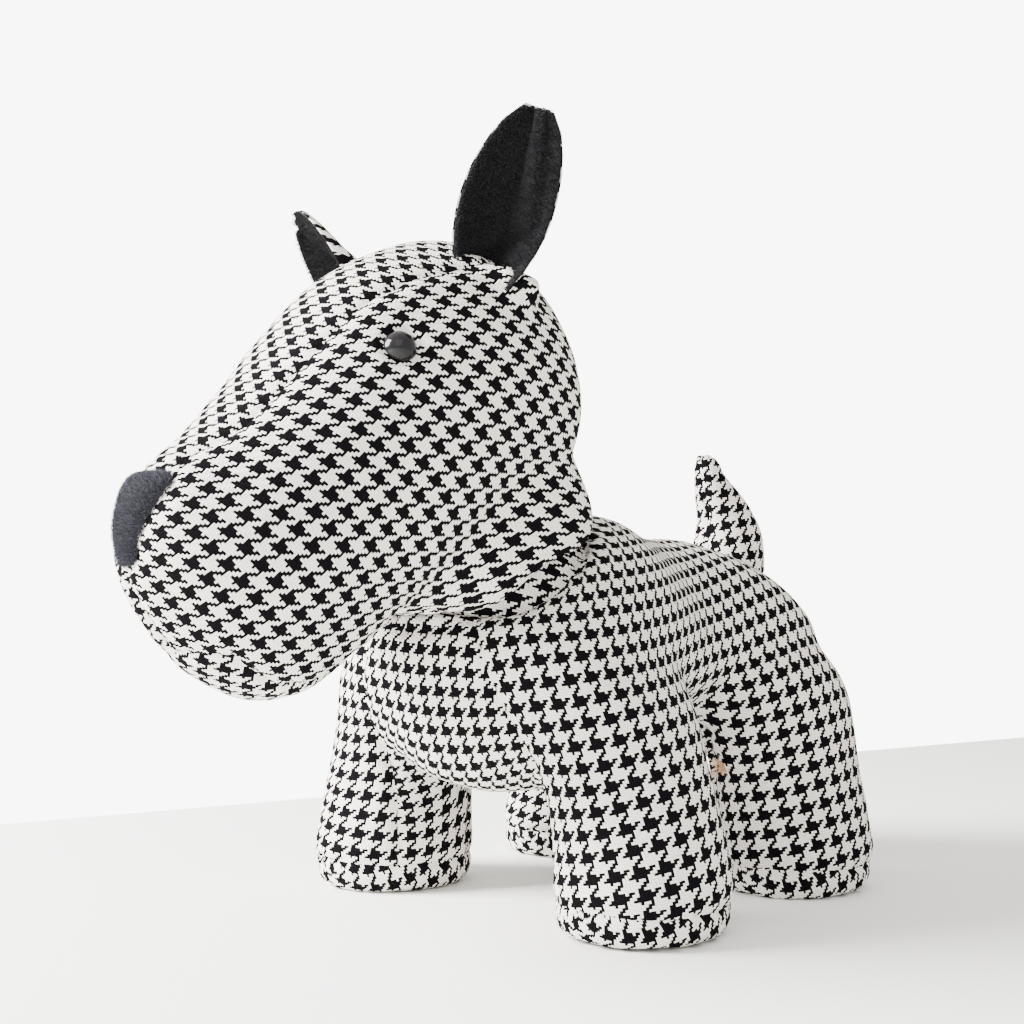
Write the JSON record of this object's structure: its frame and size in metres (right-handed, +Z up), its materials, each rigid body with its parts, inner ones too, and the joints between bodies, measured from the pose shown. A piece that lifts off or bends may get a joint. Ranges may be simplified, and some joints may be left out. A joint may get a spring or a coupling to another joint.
{
  "type": "plush dog",
  "caption": "Stuffed terrier with a long bearded muzzle, upright plush-lined ears, round legs and a thorn-shaped tail, sewn from black and cream houndstooth cloth.",
  "frame": {"origin": "centre of the whole toy's footprint box, on the surface it stands on", "axes": "+Z up, the dog faces -Y, its own left side is +X"},
  "size_m": [0.1958, 0.3304, 0.2981],
  "materials": {
    "houndstooth_cloth": "woven black and cream houndstooth twill, matte",
    "ear_plush": "short black pile, soft sheen",
    "nose_plush": "short charcoal pile, matte",
    "eye_plastic": "glossy black",
    "washer_plastic": "natural white",
    "filling": "white polyester fibre"
  },
  "bodies": {
    "torso": {"body_filling": "filling", "body_cover": "houndstooth_cloth", "sole_front_left": "houndstooth_cloth", "sole_front_right": "houndstooth_cloth", "sole_rear_left": "houndstooth_cloth", "sole_rear_right": "houndstooth_cloth"},
    "neck": {"neck_filling": "filling"},
    "head": {"head_filling": "filling", "head_side_left": "houndstooth_cloth", "head_side_right": "houndstooth_cloth", "head_top_gusset": "houndstooth_cloth", "chin_gusset": "houndstooth_cloth", "nose_patch": "nose_plush", "eye_left": "eye_plastic", "eye_right": "eye_plastic", "eye_washer_left": "washer_plastic", "eye_washer_right": "washer_plastic"},
    "ear_left": {"ear_back_left": "houndstooth_cloth", "ear_inner_left": "ear_plush"},
    "ear_right": {"ear_back_right": "houndstooth_cloth", "ear_inner_right": "ear_plush"},
    "tail": {"tail_filling": "filling", "tail_left": "houndstooth_cloth", "tail_right": "houndstooth_cloth"}
  },
  "joints": [
    {"name": "head_nod", "type": "hinge", "parent": "torso", "child": "neck", "pos_m": [0, -0.01709, 0.127], "axis": [1, 0, 0], "range_deg": [-8, 8], "stiffness_Nm_per_rad": 9},
    {"name": "head_turn", "type": "hinge", "parent": "neck", "child": "head", "pos_m": [0, -0.01709, 0.127], "axis": [0, -0.5592, 0.829], "range_deg": [-25, 25], "stiffness_Nm_per_rad": 1.5},
    {"name": "ear_left_bend", "type": "hinge", "parent": "head", "child": "ear_left", "pos_m": [0.03366, -0.0508, 0.241], "axis": [0.8464, 0.4089, -0.3412], "range_deg": [-20, 25], "stiffness_Nm_per_rad": 0.2},
    {"name": "ear_right_bend", "type": "hinge", "parent": "head", "child": "ear_right", "pos_m": [-0.03993, -0.04306, 0.241], "axis": [0.5915, -0.5465, 0.5929], "range_deg": [-20, 25], "stiffness_Nm_per_rad": 0.2},
    {"name": "tail_bend", "type": "hinge", "parent": "torso", "child": "tail", "pos_m": [0, 0.14591, 0.13], "axis": [0, 1, 0], "range_deg": [-20, 20], "stiffness_Nm_per_rad": 0.2}
  ]
}
